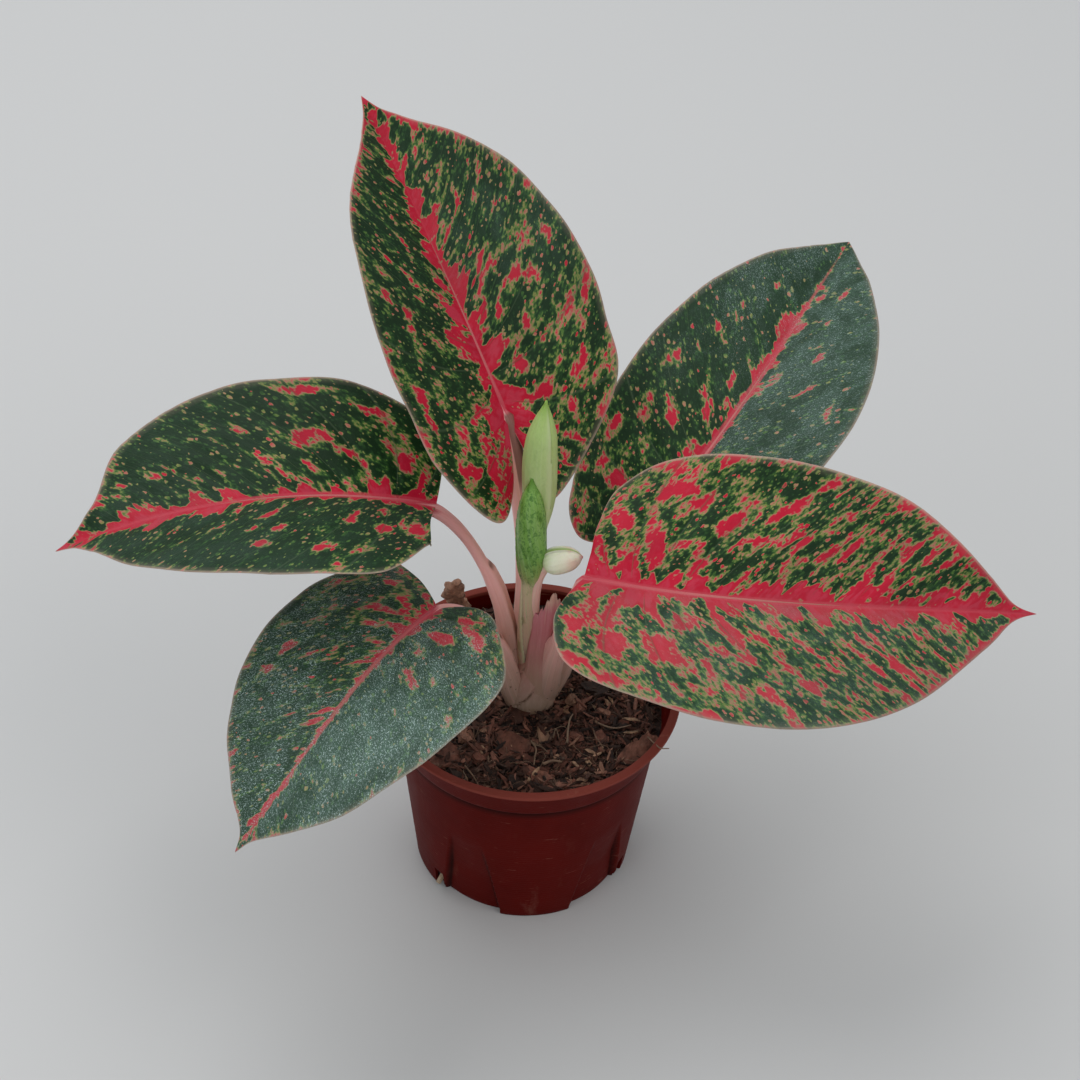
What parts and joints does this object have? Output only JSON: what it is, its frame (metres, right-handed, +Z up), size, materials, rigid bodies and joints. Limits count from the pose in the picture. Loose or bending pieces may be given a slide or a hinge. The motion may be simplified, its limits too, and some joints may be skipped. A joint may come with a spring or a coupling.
{
  "type": "potted chinese evergreen",
  "caption": "Young houseplant with broad red-blotched green leaves, a rolled leaf and pale flower spathes, in a small tapered nursery pot filled with bark mix.",
  "frame": {"origin": "centre of the pot's foot, on the surface that it stands on", "axes": "+Z up along the pot's axis, the plant's front at -Y"},
  "size_m": [0.3381, 0.2479, 0.2745],
  "materials": {
    "pot_plastic": "satin terracotta-coloured plastic",
    "potting_mix": "rough, damp, crumbly",
    "bark": "rough",
    "stem": "smooth, fleshy",
    "red_leaf": "satin, dark green blotched with red and tan",
    "dark_leaf": "satin, dark green with small red and tan specks",
    "young_leaf": "satin",
    "spathe": "satin",
    "bud": "satin",
    "sheath": "dry, matt"
  },
  "bodies": {
    "root": {"pot": "pot_plastic", "soil": "potting_mix", "bark_chip": "bark", "crown": "stem", "leaf_top": "red_leaf", "leaf_right": "red_leaf", "leaf_left": "red_leaf", "leaf_back": "dark_leaf", "leaf_front": "dark_leaf", "young_leaf": "young_leaf", "spathe": "spathe", "spathe_bud": "bud", "torn_sheath": "sheath"}
  },
  "joints": []
}
